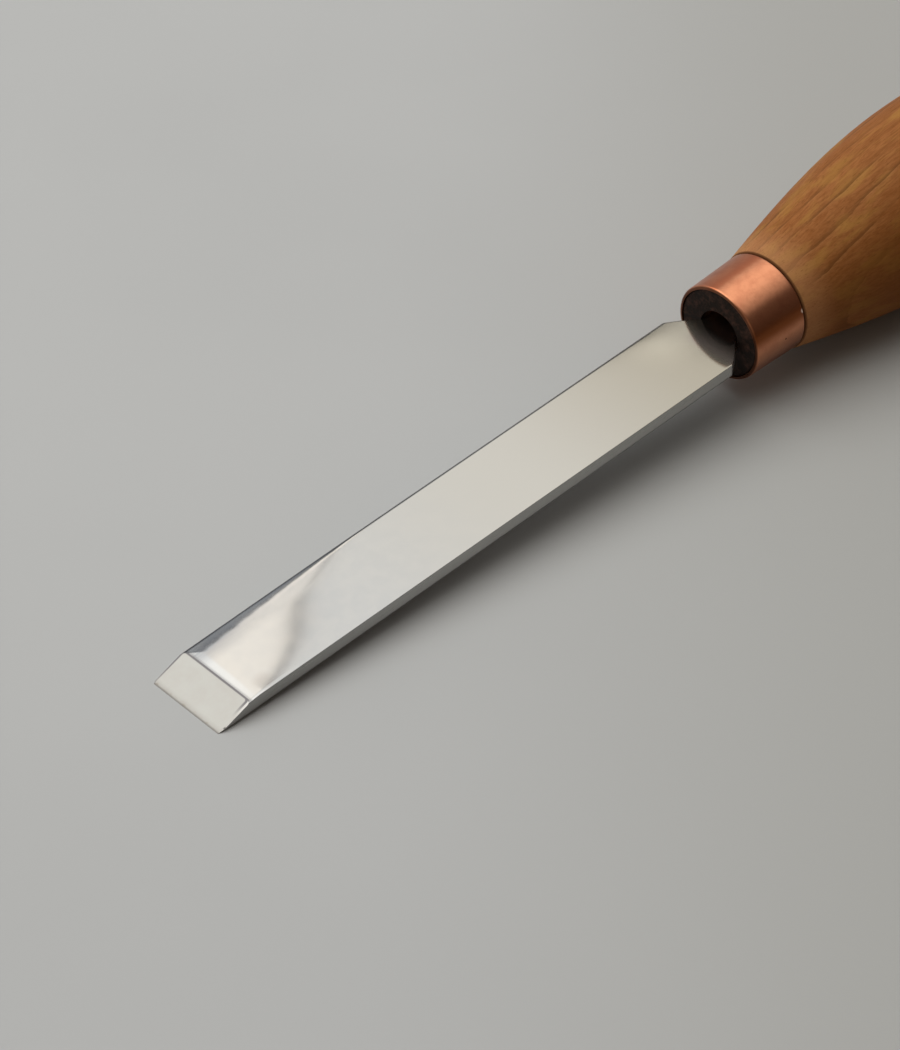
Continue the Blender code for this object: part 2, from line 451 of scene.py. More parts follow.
def smooth_run(start, end, start_slope, end_slope, steps):
    """A smooth curve between two (x, size) points, without its start."""
    t = np.linspace(0.0, 1.0, steps + 1)[1:]
    length = end[0] - start[0]
    size = (2 * t**3 - 3 * t**2 + 1) * start[1] + (3 * t**2 - 2 * t**3) * end[1]
    size += length * ((t**3 - 2 * t**2 + t) * start_slope + (t**3 - t**2) * end_slope)
    return list(zip(start[0] + t * length, size))


def half_in_bore(radius):
    """Half the width of a blade whose back just fits in a round bore."""
    return math.sqrt(radius**2 - BACK_Z**2)


neck_half = half_in_bore(BORE_RADIUS - FIT_GAP)
root_half = half_in_bore(BORE_RADIUS - 2 * FIT_GAP - BEDDING_WALL)
shoulder = (SHOULDER_AT, SHOULDER_WIDTH / 2)
mean_slope = (neck_half - shoulder[1]) / (MOUTH - SHOULDER_AT)
neck_slope = 2 * mean_slope + SHOULDER_SLOPE
plan = [(BLANK_START, EDGE_WIDTH / 2), (0.0, EDGE_WIDTH / 2), shoulder]
plan += smooth_run(shoulder, (MOUTH, neck_half), -SHOULDER_SLOPE, neck_slope, SHOULDER_STEPS)
plan += [(BEDDING_FRONT, root_half), (TANG_END, TANG_END_WIDTH / 2)]
plan_x, plan_half = np.array(plan).T


def half_width(x):
    return np.interp(x, plan_x, plan_half)


print("neck is", round(2 * neck_half, 2), "mm wide")

# %% [markdown]
# ## Blade: the polished face
# The blade is polished by hand, so its face is nearly flat for most of its length and falls
# away near the tip. The far edge is buffed down a few tenths, the face dips before the bevel,
# and the near edge rolls over. Bump could fake this at a distance, but a mirror shows the
# smallest slope, so one function adds up the real drop at every point.

# %% Draw soft slopes and rounded edges
FAR_ROUND = (0.40, 0.20)
NEAR_ROUND = (0.06, 0.06)
SOFT_MEETING = 0.02


def round_over(inset, across, drop):
    """The drop of an edge that is rounded like a quarter of an ellipse."""
    reach = np.clip(1.0 - inset / across, 0.0, 1.0)
    return drop * (1.0 - np.sqrt(1.0 - reach**2))


def soft_ramp(distance, blend):
    """0 before the line, distance past it, with a smooth bend between."""
    bend = np.clip(distance + blend, 0.0, 2 * blend)
    return bend**2 / (4 * blend) + np.maximum(distance - blend, 0.0)


def soft_larger(first, second):
    """The larger of two drops, without a crease where they meet."""
    apart = np.sqrt((first - second) ** 2 + SOFT_MEETING**2)
    return (first + second + apart) / 2 - SOFT_MEETING / 2


print("far edge drops", round(float(round_over(0.0, *FAR_ROUND)), 2), "mm")

# %% Shape the polished face
BUFFED_TO = 48.0
BUFFED_WIDTH = 2.75
BUFFED_SLOPE = 0.13
BUFFED_CURVE = 1.6
BUFFED_MARGIN = 0.25
BUFFED_BLEND = 0.95
HAND_WANDER = 0.12
HAND_WAVES = (1.3, 0.45)
DIP_TO = 8.6
DIP_SLOPE = 0.12
DIP_BLEND = 0.8
ROLL_WIDTH = 0.38
ROLL_LEAST = 0.4
ROLL_SLOPE = 0.35
ROLL_BLEND = 0.15
CROWN = 5e-6


def face_drop(x, y):
    """How far the polished face lies below the flat plane at (x, y)."""
    half = half_width(x)
    tip = np.clip((BUFFED_TO - x) / (BUFFED_TO - BEVEL_RUN), 0.0, 1.1)
    wander = HAND_WANDER * np.sin(HAND_WAVES[0] * x) * np.sin(HAND_WAVES[1] * x + 1.0)
    buffed_in = BUFFED_MARGIN + (BUFFED_WIDTH + wander) * tip**BUFFED_CURVE
    buffed = BUFFED_SLOPE * soft_ramp(buffed_in - half + y, BUFFED_MARGIN + BUFFED_BLEND * tip)
    dip = DIP_SLOPE * soft_ramp(DIP_TO - x, DIP_BLEND)
    rolled_in = ROLL_WIDTH * (ROLL_LEAST + (1.0 - ROLL_LEAST) * tip)
    rolled = ROLL_SLOPE * soft_ramp(rolled_in - half - y, ROLL_BLEND)
    far_edge = round_over(half - y, *FAR_ROUND)
    near_edge = round_over(half + y, *NEAR_ROUND)
    return soft_larger(buffed, dip) + rolled + far_edge + near_edge + CROWN * y**4


print("face lies", round(float(face_drop(BEVEL_RUN, 0.0)), 3), "mm low at the bevel")

# %% [markdown]
# ## Blade: rings
# The whole blade is a stack of rings. Each ring runs across the face, down the near side, back
# under and up the far side. A subdivided box would need the same care at every edge, while
# rings let points crowd towards the edges and the tip, where the polish curves most.

# %% Draw the blade's rings
FACE_POINTS = 110
BACK_POINTS = 12
SIDE_STEPS = np.array([0.12, 0.5, 0.88])
TANG_FACE_DROP = 0.1
TANG_BACK_RISE = 0.6
RING_STRETCHES = [
    (BLANK_START, 5.0, 8),
    (5.2, 12.0, 35),
    (12.4, 44.0, 80),
    (46.0, SHOULDER_AT - 0.4, 34),
    (SHOULDER_AT - 0.2, MOUTH, 30),
    (MOUTH + 1.0, TANG_END, 16),
]

spread = np.cos(np.linspace(0.0, math.pi, FACE_POINTS + 1))
back_spread = np.cos(np.linspace(math.pi, 0.0, BACK_POINTS + 1))


def ring_at(x):
    """The points round the blade at one place along it."""
    half = half_width(x)
    thin = np.clip((x - BEDDING_FRONT) / (TANG_END - BEDDING_FRONT), 0.0, 1.0)
    face_y = half * spread
    face_z = FACE_Z - TANG_FACE_DROP * thin - face_drop(np.full_like(face_y, x), face_y)
    back_y = half * back_spread
    arris = round_over(half - np.abs(back_y), ARRIS_ROUND, ARRIS_ROUND)
    back_z = BACK_Z + TANG_BACK_RISE * thin + arris
    near_z = face_z[-1] + (back_z[0] - face_z[-1]) * SIDE_STEPS
    far_z = back_z[-1] + (face_z[0] - back_z[-1]) * SIDE_STEPS
    near_y = np.full_like(near_z, -half)
    far_y = np.full_like(far_z, half)
    y = np.concatenate([face_y, near_y, back_y, far_y])
    z = np.concatenate([face_z, near_z, back_z, far_z])
    return [tuple(point) for point in np.column_stack([np.full_like(y, x), y, z])]


places = np.concatenate([np.linspace(*stretch) for stretch in RING_STRETCHES])
rows = [ring_at(x) for x in places]
print("blade has", len(rows), "rings of", len(rows[0]), "points")

# %% [markdown]
# ## Blade: skin, bevel and chip
# Faces between the rings and a cap at each end close the solid. The bevel is then cut with one
# plane through the cutting edge, as a grinder would, and its rim is kept sharp. A second, tiny
# cut takes the chip off the near corner of the cutting edge. Two plane cuts leave cleaner facets
# than Boolean cutters would. Each face then gets the number of its finish.

# %% Skin and cut the blade
RIM_SETBACK = 0.3
RIM_AT = BEVEL_RUN + RIM_SETBACK
CHIP_LENGTH = 1.1
CHIP_DEPTH = 0.3
CUT_TOLERANCE = 1e-5


def skin(rows):
    """Closes rows of points into one solid, with a cap at each end."""
    bm = bmesh.new()
    rings = [[bm.verts.new(point) for point in row] for row in rows]
    for ring, following in zip(rings, rings[1:]):
        for index in range(len(ring)):
            before = index - 1
            bm.faces.new((ring[before], ring[index], following[index], following[before]))
    bm.faces.new(rings[0])
    bm.faces.new(rings[-1])
    bmesh.ops.recalc_face_normals(bm, faces=bm.faces)
    return bm


def slice_off(bm, point, normal):
    """Cuts away what lies on the normal's side of a plane, and closes the cut with one facet."""
    everything = bm.verts[:] + bm.edges[:] + bm.faces[:]
    plane = {"plane_co": point, "plane_no": normal, "dist": CUT_TOLERANCE, "clear_outer": True}
    cut = bmesh.ops.bisect_plane(bm, geom=everything, **plane)
    rim = [item for item in cut["geom_cut"] if isinstance(item, bmesh.types.BMEdge)]
    bmesh.ops.contextual_create(bm, geom=rim)


blade_bm = skin(rows)
bevel_rise = BLADE_THICKNESS - float(face_drop(RIM_AT, 0.0))
bevel_normal = Vector((-bevel_rise, 0.0, RIM_AT)).normalized()
slice_off(blade_bm, (0.0, 0.0, BACK_Z), bevel_normal)
chip_normal = Vector((-CHIP_DEPTH, -CHIP_LENGTH, 0.0)).normalized()
slice_off(blade_bm, (CHIP_LENGTH, -EDGE_WIDTH / 2, BACK_Z), chip_normal)
open_edges = [edge for edge in blade_bm.edges if len(edge.link_faces) != 2]
print("blade has", len(blade_bm.faces), "faces and", len(open_edges), "open edges")

# %% Share out the blade's finishes
FACE, BEVEL, GRIND, TANG = range(4)
POLISHED_TO = MOUTH + 9.0
SAME_WAY = 0.9999
FACING_UP = 0.3

blade_bm.normal_update()
for face in blade_bm.faces:
    face.smooth = True
    middle = face.calc_center_median()
    if face.normal.dot(bevel_normal) > SAME_WAY and middle.x < RIM_AT:
        face.material_index = BEVEL
    elif middle.x > POLISHED_TO:
        face.material_index = TANG
    elif face.normal.z > FACING_UP:
        face.material_index = FACE
    else:
        face.material_index = GRIND
for edge in blade_bm.edges:
    on_bevel = [face.material_index == BEVEL for face in edge.link_faces]
    edge.smooth = all(on_bevel) or not any(on_bevel)


def make_object(name, bm):
    """Lays a drawn shape on the bench as a new object."""
    mesh = bpy.data.meshes.new(name)
    bm.to_mesh(mesh)
    bm.free()
    mesh.transform(to_bench)
    obj = bpy.data.objects.new(name, mesh)
    scene.collection.objects.link(obj)
    return obj


blade = make_object("polished_blade", blade_bm)
print("blade:", len(blade.data.polygons), "faces")

# %% [markdown]
# ## Face polish: tone
# The face is polished to a mirror on a wheel, so most of what it shows is the room. Its own
# tone is slight: cool and pale near the tip. The rest is painted reflection for light that the
# lamps don't give: warmer along the middle, duller towards the ferrule, a painted highlight on
# the far shoulder and a painted copper reflection by the ferrule. A painted image could hold
# it, but masks along x and y can be read and changed.

# %% Tone the face
COOL_STEEL = (0.390, 0.396, 0.395)
PALE_STEEL = (0.410, 0.412, 0.406)
WARM_REFLECTION_STEEL = (0.400, 0.391, 0.362)
DIM_REFLECTION_STEEL = (0.300, 0.277, 0.226)
LIT_SHOULDER = (0.400, 0.374, 0.312)
FERRULE_REFLECTION = (0.300, 0.258, 0.238)

face_polish, tree = new_finish("face_polish")
place = tree.tool_space()
axes = tree.split(place)
x, y = axes[:2]
haze = tree.noise(place, 0.35, 4.0)
clean = tree.mix(haze.rise(0.3, 0.7), COOL_STEEL, PALE_STEEL)
# Painted reflection: warmer along the middle and duller towards the ferrule.
warm_reflection = tree.mix(x.rise(25.0, 70.0), clean, WARM_REFLECTION_STEEL)
dim_reflection = tree.mix(x.rise(66.0, 116.0), warm_reflection, DIM_REFLECTION_STEEL)
# Painted highlight: the far shoulder is a little lighter.
far_shoulder = x.rise(100.0, 113.0) * y.rise(-3.0, 5.0)
shoulder_highlit = tree.mix(far_shoulder, dim_reflection, LIT_SHOULDER)
# Painted reflection of the copper ferrule, near its mouth.
by_ferrule = x.rise(111.5, 113.5) * y.fall(0.0, 4.0)
toned = tree.mix(by_ferrule * 0.8, shoulder_highlit, FERRULE_REFLECTION)
print("tone takes", len(tree.nodes), "nodes")

# %% [markdown]
# ## Face polish: marks
# The near lip is burnished and carries a painted highlight, and a thumb has dulled one spot.
# Along the far edge near the tip a painted dark reflection lies on the face, broken up by noise
# that is drawn out along the blade. The mirrored streak fades before it reaches the far edge,
# so a faint leaning band of painted reflection carries it on.

# %% Mark the face
BURNISH_AND_HIGHLIGHT = (0.56, 0.56, 0.55)
THUMB_MARK = (0.29, 0.28, 0.27)
THUMB_AT = (10.6, -6.0, FACE_Z)
DARK_EDGE_REFLECTION = (0.14, 0.152, 0.175)
SWIRL = (0.26, 0.26, 0.255)
SWIRL_AT = (28.6, 4.0)
SWIRL_LEAN = 2.7

half = EDGE_WIDTH / 2 + x * ((SHOULDER_WIDTH - EDGE_WIDTH) / (2 * SHOULDER_AT))
from_near = half + y
from_far = half - y
# The near lip is burnished and also carries a painted highlight.
near_lip = from_near.fall(0.25, 0.5) * x.fall(6.5, 13.0)
burnished_and_highlit = tree.mix(near_lip, toned, BURNISH_AND_HIGHLIGHT)
thumbed = tree.mix(tree.spot(place, THUMB_AT, 0.4, 2.4) * 0.45, burnished_and_highlit, THUMB_MARK)
# Painted dark reflection along the far edge near the tip, broken up by streaks.
far_band = from_far.rise(0.4, 2.6) * from_far.fall(1.6, 6.0) * x.fall(7.0, 25.0)
streaks = tree.drawn_noise(axes, (0.12, 3.0, 1.0), 3.0)
edge_reflected = tree.mix(far_band * (0.3 + 0.6 * streaks), thumbed, DARK_EDGE_REFLECTION)
# A faint leaning band of painted reflection carries the mirrored streak on.
from_swirl = x - SWIRL_AT[0] - (y - SWIRL_AT[1]) * SWIRL_LEAN
swirl = from_swirl.rise(-2.4, 0.0) * from_swirl.fall(0.0, 2.6) * y.rise(3.6, 5.0)
marked = tree.mix(swirl * 0.38, edge_reflected, SWIRL)
print("marks bring it to", len(tree.nodes), "nodes")

# %% [markdown]
# ## Face polish: dark lines and gloss
# Polished edges turn away so fast that they show as dark lines. The mesh has that turn, but the
# lines along the rim and the far edge need more weight, so they are painted as well. By the
# ferrule a thin film dulls the mirror. Buffed places are a little rougher, and hair-fine bumps
# along the blade break up the gloss.

# %% Outline the face and set its gloss
RIM_GREY = (0.15, 0.15, 0.155)
EDGE_GREY = (0.10, 0.105, 0.11)
CORNER_GREY = (0.05, 0.052, 0.055)
FILM_AT = (113.5, 2.2)
FILM_LEAN = 1.8

rimmed = tree.mix(x.fall(RIM_AT, RIM_AT + 0.5) * 0.55, marked, RIM_GREY)
far_line = from_far.fall(0.25, 0.65)
outlined = tree.mix(far_line * (0.55 + 0.30 * x.fall(45.0, 80.0)), rimmed, EDGE_GREY)
cornered = tree.mix(far_line * x.fall(8.0, 18.0) * 0.5, outlined, CORNER_GREY)
past_film = y - (x - FILM_AT[0]) * FILM_LEAN - FILM_AT[1]
film = x.rise(110.5, 112.0) * past_film.fall(-0.8, 0.6) * (0.01 + 0.30 * x.fall(111.5, 117.0))
buffed = x.fall(20.0, 45.0) * y.rise(2.5, 6.0)
blurred = buffed * 0.08 + x.fall(7.0, 10.0) * 0.06 + x.rise(106.0, 117.0) * 0.08
hairs = tree.drawn_noise(axes, (0.05, 14.0, 1.0), 3.0)
set_finish(face_polish, tree, {
    "Base Color": cornered,
    "Metallic": 1 - film,
    "Roughness": 0.05 + haze * 0.015 + blurred,
    "Normal": tree.bump(hairs, 0.0015 + buffed * 0.02, 0.0001),
})
blade.data.materials.append(face_polish)

# %% [markdown]
# ## Bevel
# The bevel is ground, then honed by hand, and its fine lines run from the rim to the cutting
# edge. Bump alone would lose them from a distance, so they change the colour and the roughness
# too. A painted highlight runs along the near lip. Towards the edge the steel is darker, and
# stained. The darkest line, at the edge itself, stands for honing and for painted shadow that
# gathers there. A nick lies by the near corner, painted dark as shade.

# %% Grind the bevel
GROUND_DARK = (0.335, 0.335, 0.318)
GROUND_PALE = (0.385, 0.385, 0.365)
BLOOM = (0.345, 0.332, 0.312)
LIP_HIGHLIGHT = (0.46, 0.455, 0.44)
EDGE_DARK = (0.20, 0.185, 0.165)
STAIN = (0.21, 0.175, 0.135)
HONED_AND_SHADED_EDGE = (0.150, 0.145, 0.138)
NICK_SHADE = (0.10, 0.095, 0.09)
NICK_AT = (1.25, -7.6, -1.08)

bevel_grind, tree = new_finish("bevel_grind")
place = tree.tool_space()
axes = tree.split(place)
x, y = axes[:2]
lines = tree.drawn_noise(axes, (0.6, 22.0, 1.0), 3.0)
bloom = tree.noise(place, 0.45, 4.0, 0.6)
wear = tree.noise(place, 1.6, 3.0)
from_near = y + EDGE_WIDTH / 2
from_far = EDGE_WIDTH / 2 - y
ground = tree.mix(lines, GROUND_DARK, GROUND_PALE)
clouded = tree.mix(bloom.rise(0.3, 0.7) * 0.5, ground, BLOOM)
# Painted highlight along the bevel's near lip.
lip_highlit = tree.mix(from_near.fall(0.3, 0.45) * x.rise(3.0, 6.0), clouded, LIP_HIGHLIGHT)
# Darker towards the cutting edge.
edge_darkened = tree.mix(x.fall(0.0, 1.2) * (0.25 + 0.4 * bloom), lip_highlit, EDGE_DARK)
stained = tree.mix(x.fall(0.2, 0.7) * wear.rise(0.5, 0.7) * 0.6, edge_darkened, STAIN)
# The darkest line at the cutting edge is honing and painted shade.
honed_and_shaded = tree.mix(x.fall(0.14, 0.38) * 0.85, stained, HONED_AND_SHADED_EDGE)
# The nick by the near corner is painted dark as shade.
with_painted_nick = tree.mix(tree.spot(place, NICK_AT, 0.12, 0.32), honed_and_shaded, NICK_SHADE)
print("grind takes", len(tree.nodes), "nodes")

# %% [markdown]
# ## Burr and painted shade round the bevel
# Where the grind meets the polish a fine burr is left. Its dark line, with a rounded corner at
# each end, is partly the burr and partly painted shade, and where it runs down the far edge it
# is painted shade. It could be a ribbon of mesh, but it is less than half a millimetre wide. A
# formula draws it instead: it finds how far inside two lines a place lies, and paints where that
# is zero.

# %% Draw the burr and its painted shade
BURR_HALF = 0.21
BURR_INSET = 0.11
NEAR_CORNER = 0.6
FAR_INSET = 0.05
FAR_CORNER = 0.7
BURR_AND_SHADE_GREY = (0.14, 0.135, 0.14)


def inside_corner(first, second, radius):
    """How far inside two lines that meet in a rounded corner a place is."""
    short_first = (radius - first).at_least(0.0)
    short_second = (radius - second).at_least(0.0)
    return radius - (short_first * short_first + short_second * short_second) ** 0.5


def stripe(distance, half):
    """1 near the line where the distance is zero, fading out at about half its width."""
    return abs(distance).fall(half * 0.6, half * 1.4)


from_rim = RIM_AT - x - BURR_INSET
near_line = inside_corner(from_rim, from_near - NEAR_CORNER, NEAR_CORNER)
far_line = inside_corner(from_rim, from_far - FAR_INSET, FAR_CORNER)
# The burr's dark line is partly painted shade, and painted shade along the far edge.
near_burr_shade = stripe(near_line, BURR_HALF) * x.rise(3.0, 6.2)
far_burr_shade = stripe(far_line, BURR_HALF) * x.rise(-4.0, 5.0)
set_finish(bevel_grind, tree, {
    "Base Color": tree.mix(near_burr_shade.at_least(far_burr_shade), with_painted_nick, BURR_AND_SHADE_GREY),
    "Metallic": 1.0,
    "Roughness": 0.36 + lines * 0.06 + bloom * 0.04,
    "Normal": tree.bump(lines, 0.05, 0.0001),
})
blade.data.materials.append(bevel_grind)

# %% [markdown]
# ## Sides, back and tang
# Sides and back are ground lengthwise and left at that, and painted shade makes them a little
# darker towards the tip. Noise that is drawn out along the tool gives the grinding lines without
# one stroke being modelled.
# The tang keeps the dull scale of the forge, which blotchy noise shows in colour and relief.

# %% Grind the sides and the back
SIDE_DARK = (0.40, 0.395, 0.38)
SIDE_PALE = (0.47, 0.465, 0.45)
SIDE_TIP_SHADE = (0.30, 0.296, 0.284)

side_grind, tree = new_finish("side_grind")
axes = tree.split(tree.tool_space())
lines = tree.drawn_noise(axes, (0.08, 9.0, 9.0), 4.0)
ground = tree.mix(lines, SIDE_DARK, SIDE_PALE)
# Painted shade: the sides grow darker towards the tip.
near_tip = axes[0].fall(10.0, 45.0)
set_finish(side_grind, tree, {
    "Base Color": tree.mix(near_tip * 0.4, ground, SIDE_TIP_SHADE),
    "Metallic": 1.0,
    "Roughness": 0.24 + lines * 0.10,
    "Normal": tree.bump(lines, 0.04, 0.0001),
})
blade.data.materials.append(side_grind)

# %% Leave scale on the tang
SCALE_DARK = (0.05, 0.045, 0.04)
SCALE_PALE = (0.13, 0.11, 0.095)

tang_scale, tree = new_finish("tang_scale")
blotch = tree.noise(tree.tool_space(), 0.7, 4.0)
set_finish(tang_scale, tree, {
    "Base Color": tree.mix(blotch.rise(0.35, 0.65), SCALE_DARK, SCALE_PALE),
    "Metallic": 0.8,
    "Roughness": 0.55 + blotch * 0.25,
    "Normal": tree.bump(blotch, 0.3, 0.0003),
})
blade.data.materials.append(tang_scale)
print("blade finishes:", [material.name for material in blade.data.materials])

# %% [markdown]
# ## A lathe in Geometry Nodes
# The ferrule and the handle are turned, so one node tree makes both: it reads the points of a
# profile line, lays a grid with one column for each point, and wraps the grid round the axis.
# The grid closes on itself where its seam and poles are merged. A Screw modifier could turn a
# profile as well, but this tree names its own inputs and sets the finish too.

# %% Name the lathe's inputs
lathe = bpy.data.node_groups.new("lathe", "GeometryNodeTree")
lathe.is_modifier = True
sockets = lathe.interface
sockets.new_socket("Profile", in_out="INPUT", socket_type="NodeSocketGeometry")
steps_socket = sockets.new_socket("Steps round", in_out="INPUT", socket_type="NodeSocketInt")
finish_socket = sockets.new_socket("Finish", in_out="INPUT", socket_type="NodeSocketMaterial")
sockets.new_socket("Turned", in_out="OUTPUT", socket_type="NodeSocketGeometry")
print("lathe's sockets:", [item.name for item in sockets.items_tree])

# %% Build the lathe
MERGE_DISTANCE = 0.0005

shop = Tree(lathe)
profile_in, steps_in, finish_in = shop.outputs(shop.node("NodeGroupInput"))[:3]
settings = {"component": "MESH"}
count = shop.node("GeometryNodeAttributeDomainSize", settings, {"Geometry": profile_in})
inputs = {"Vertices X": steps_in + 1, "Vertices Y": count}
grid = shop.node("GeometryNodeMeshGrid", None, inputs)
index = shop.node("GeometryNodeInputIndex")
column = shop.maths("FLOOR", (index + 0.1) / count)
settings = {"data_type": "FLOAT_VECTOR", "domain": "POINT"}
inputs = {
    "Geometry": profile_in,
    "Value": shop.node("GeometryNodeInputPosition"),
    "Index": index - column * count,
}
point = shop.split(shop.node("GeometryNodeSampleIndex", settings, inputs))
along = point[0]
radius = point[2]
angle = column * (2 * math.pi) / steps_in
round_y = radius * shop.maths("SINE", angle)
round_z = radius * shop.maths("COSINE", angle)
inputs = {"Geometry": grid, "Position": shop.join(along, round_y, round_z)}
wrapped = shop.node("GeometryNodeSetPosition", None, inputs)
inputs = {"Geometry": wrapped, "Distance": MERGE_DISTANCE}
closed = shop.node("GeometryNodeMergeByDistance", None, inputs)
whole = shop.node("GeometryNodeRealizeInstances", None, {"Geometry": closed})
dressed = shop.node("GeometryNodeSetMaterial", None, {"Geometry": whole, "Material": finish_in})
group_out = lathe.nodes.new("NodeGroupOutput")
lathe.links.new(dressed.socket, group_out.inputs[0])
print("lathe has", len(lathe.nodes), "nodes")

# %% Use the lathe
SHARP_ANGLE = math.radians(35)


def turn_profile(name, profile, steps, material):
    """Turns an (x, radius) profile into a drawn shape that is smooth between its real edges."""
    line = bpy.data.meshes.new(name + "_profile")
    points = [(x, 0.0, radius) for x, radius in profile]
    pairs = [(i, i + 1) for i in range(len(points) - 1)]
    line.from_pydata(points, pairs, [])
    blank = bpy.data.objects.new(name + "_blank", line)
    scene.collection.objects.link(blank)
    spin = blank.modifiers.new("lathe", "NODES")
    spin.node_group = lathe
    spin[steps_socket.identifier] = steps
    spin[finish_socket.identifier] = material
    seen = blank.evaluated_get(bpy.context.evaluated_depsgraph_get())
    mesh = bpy.data.meshes.new_from_object(seen)
    bm = bmesh.new()
    bm.from_mesh(mesh)
    bmesh.ops.recalc_face_normals(bm, faces=bm.faces)
    bpy.data.objects.remove(blank)
    bpy.data.meshes.remove(mesh)
    for face in bm.faces:
        face.smooth = True
    for edge in bm.edges:
        edge.smooth = edge.calc_face_angle(0.0) < SHARP_ANGLE
    return bm


def arc(centre, radius, start, end, steps):
    """Points on part of a circle, between two angles in degrees."""
    angles = np.radians(np.linspace(start, end, steps + 1))
    return [(centre[0] + radius * math.cos(a), centre[1] + radius * math.sin(a)) for a in angles]


def even_line(start, end, step):
    """Points from start to end, without the start, about one step apart."""
    count = max(1, round(math.dist(start, end) / step))
    t = np.linspace(0.0, 1.0, count + 1)[1:]
    return [(start[0] + (end[0] - start[0]) * k, start[1] + (end[1] - start[1]) * k) for k in t]


print("edges sharper than", round(math.degrees(SHARP_ANGLE)), "degrees stay crisp")

# %% [markdown]
# ## Ferrule: copper
# The ferrule is satin copper with a little tarnish and the small marks of fitting. Copper takes
# most of its look from what it mirrors, and the panels give the bright band along it. They leave
# the rest too even, so masks across the tube paint the rest: a redder painted reflection on the
# far side, a painted highlight at the edge of the bright band, a dark band of painted reflection
# below it and painted shade on the underside. The pit is one spot, and the nick on the back lip
# is a spot of painted highlight.

# %% Colour the copper
BRIGHT_COPPER = (0.645, 0.272, 0.145)
TARNISHED_COPPER = (0.55, 0.216, 0.115)
FAR_REFLECTION_COPPER = (0.48, 0.148, 0.068)
BAND_EDGE_HIGHLIGHT = (0.50, 0.150, 0.065)
DARK_BAND_REFLECTION = (0.24, 0.070, 0.022)
SHADED_COPPER = (0.350, 0.132, 0.066)
DARK_RIM = (0.10, 0.040, 0.022)
NICK_HIGHLIGHT = (0.95, 0.72, 0.60)
PIT_BLACK = (0.06, 0.022, 0.012)
PIT_AT = (EXPOSED_LENGTH + 6.8, -9.08, 0.0)
LIP_NICK_AT = (FERRULE_BACK - 0.05, -8.64, 3.2)

copper, tree = new_finish("satin_copper")
place = tree.tool_space()
axes = tree.split(place)
x, y, z = axes
rub = tree.drawn_noise(axes, (4.0, 0.4, 0.4), 3.0)
tarnish = tree.noise(place, 0.5, 4.0, 0.6)
bright = tree.mix(tarnish.rise(0.35, 0.7), BRIGHT_COPPER, TARNISHED_COPPER)
# Painted reflection on the far side, painted highlight at the band's edge, and a dark band of
# painted reflection below it.
far_reflected = tree.mix(y.rise(1.0, 6.0) * 0.45, bright, FAR_REFLECTION_COPPER)
band_edge_highlit = tree.mix(y.rise(0.3, 1.5) * y.fall(1.8, 3.6) * 0.75, far_reflected, BAND_EDGE_HIGHLIGHT)
dark_band_reflected = tree.mix(z.rise(0.5, 3.0) * z.fall(3.6, 6.0), band_edge_highlit, DARK_BAND_REFLECTION)
shaded = tree.mix(z.fall(-1.0, 2.0) * 0.4, dark_band_reflected, SHADED_COPPER)
front_rim = x.fall(EXPOSED_LENGTH + 0.05, EXPOSED_LENGTH + 0.25)
rimmed = tree.mix(front_rim * 0.8, shaded, DARK_RIM)
# The nick on the back lip is a spot of painted highlight.
with_painted_nick = tree.mix(tree.spot(place, LIP_NICK_AT, 0.25, 0.55), rimmed, NICK_HIGHLIGHT)
pit = tree.spot(place, PIT_AT, 0.10, 0.24)
set_finish(copper, tree, {
    "Base Color": tree.mix(pit, with_painted_nick, PIT_BLACK),
    "Metallic": 1.0,
    "Roughness": 0.27 + rub * 0.04 + tarnish * 0.06 + pit * 0.3,
    "Normal": tree.bump(rub, 0.012, 0.0001),
})

# %% [markdown]
# ## Ferrule: shape
# The ferrule is a slice of copper tube, pressed on and opened a little at the back. It keeps the
# handle from splitting. Its section is a thin closed strip with rounded lips, so the lathe can
# turn the inside and the outside in one go.

# %% Turn the ferrule
FERRULE_FRONT_RADIUS = 8.9
FERRULE_BACK_RADIUS = 9.2
FERRULE_WALL = 0.6
FRONT_LIP = 0.45
BACK_LIP = 0.25
LIP_STEPS = 8
FINE_STEP = 0.2
COARSE_STEP = 1.0
FERRULE_STEPS = 288

inner_front = (EXPOSED_LENGTH, FERRULE_FRONT_RADIUS - FERRULE_WALL)
inner_back = (FERRULE_BACK, FERRULE_BACK_RADIUS - FERRULE_WALL)
front_centre = (EXPOSED_LENGTH + FRONT_LIP, FERRULE_FRONT_RADIUS - FRONT_LIP)
back_centre = (FERRULE_BACK - BACK_LIP, FERRULE_BACK_RADIUS - BACK_LIP)
front_lip = arc(front_centre, FRONT_LIP, 180, 90, LIP_STEPS)
back_lip = arc(back_centre, BACK_LIP, 90, 0, LIP_STEPS)
profile = [inner_front] + even_line(inner_front, front_lip[0], FINE_STEP) + front_lip[1:]
profile += even_line(front_lip[-1], back_lip[0], FINE_STEP) + back_lip[1:]
profile += even_line(back_lip[-1], inner_back, FINE_STEP)
profile += even_line(inner_back, inner_front, COARSE_STEP)
ferrule_bm = turn_profile("ferrule", profile, FERRULE_STEPS, copper)
ferrule = make_object("copper_ferrule", ferrule_bm)
ferrule.data.materials.append(copper)
print("ferrule:", len(ferrule.data.polygons), "faces")

# %% [markdown]
# ## Handle: how the wood grows
# The handle is cut from ring-porous hardwood with its grain along the tool. A flat picture of
# wood would stretch over the belly, so the wood is grown in space: rings round a pith that lies
# far to one side, bent by slow noise, with fibres and pores that are drawn out along the grain.

# %% Grow the wood
PITH = (60.0, 6.0)
FIRST_RING = 68.0
RING_STEP = 3.5
CLEAR_SHIFT = 40.0

